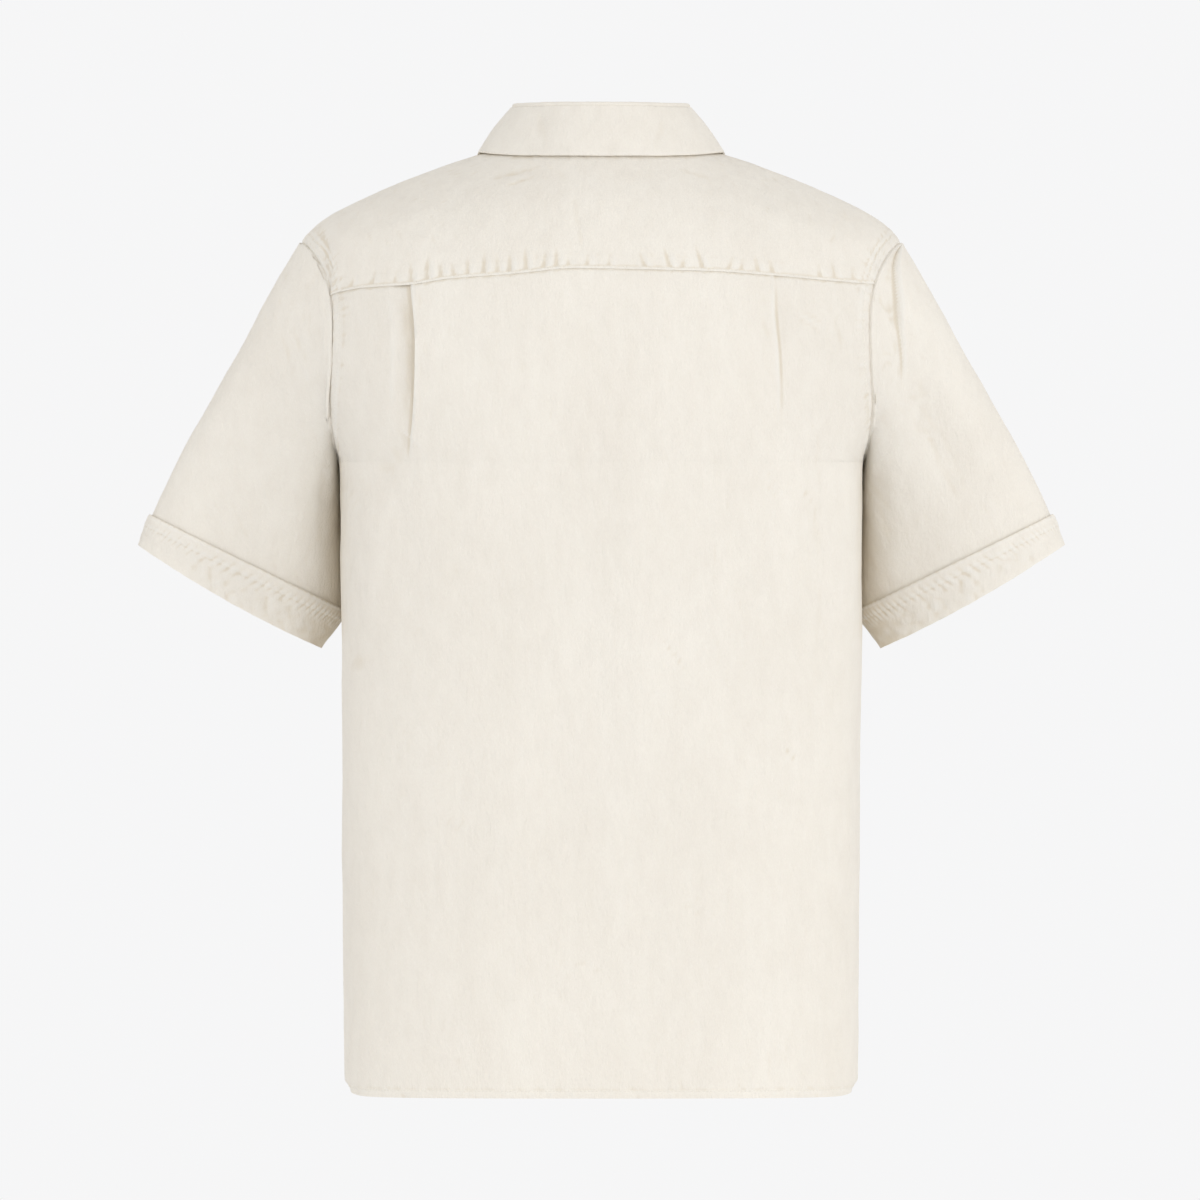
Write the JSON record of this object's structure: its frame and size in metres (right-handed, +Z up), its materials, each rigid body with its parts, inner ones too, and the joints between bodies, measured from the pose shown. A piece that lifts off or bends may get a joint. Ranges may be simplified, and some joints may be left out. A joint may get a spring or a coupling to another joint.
{
  "type": "short-sleeved shirt filled out as worn",
  "caption": "Short-sleeved oxford cloth shirt with collar, back yoke, side pleats and turned-up cuffs, filled out as worn, with no wearer.",
  "frame": {"origin": "middle of the base of the neck, at the height of the collar's lower edge at the back, between the wearer's shoulders that carry the shirt", "axes": "+Z up, +Y towards the wearer's front, -Y towards the back that the picture shows, +X to the wearer's right"},
  "size_m": [0.7102, 0.2463, 0.7601],
  "materials": {
    "cloth": "matte, unbleached oxford weave",
    "button": "satin, shell-like"
  },
  "bodies": {
    "root": {"back": "cloth", "yoke": "cloth", "front_left": "cloth", "front_right": "cloth", "placket": "cloth", "collar_stand": "cloth", "collar_fall": "cloth", "sleeve_left": "cloth", "cuff_left": "cloth", "sleeve_right": "cloth", "cuff_right": "cloth", "button_1": "button", "button_2": "button", "button_3": "button", "button_4": "button", "button_5": "button", "button_6": "button", "button_7": "button"}
  },
  "joints": []
}
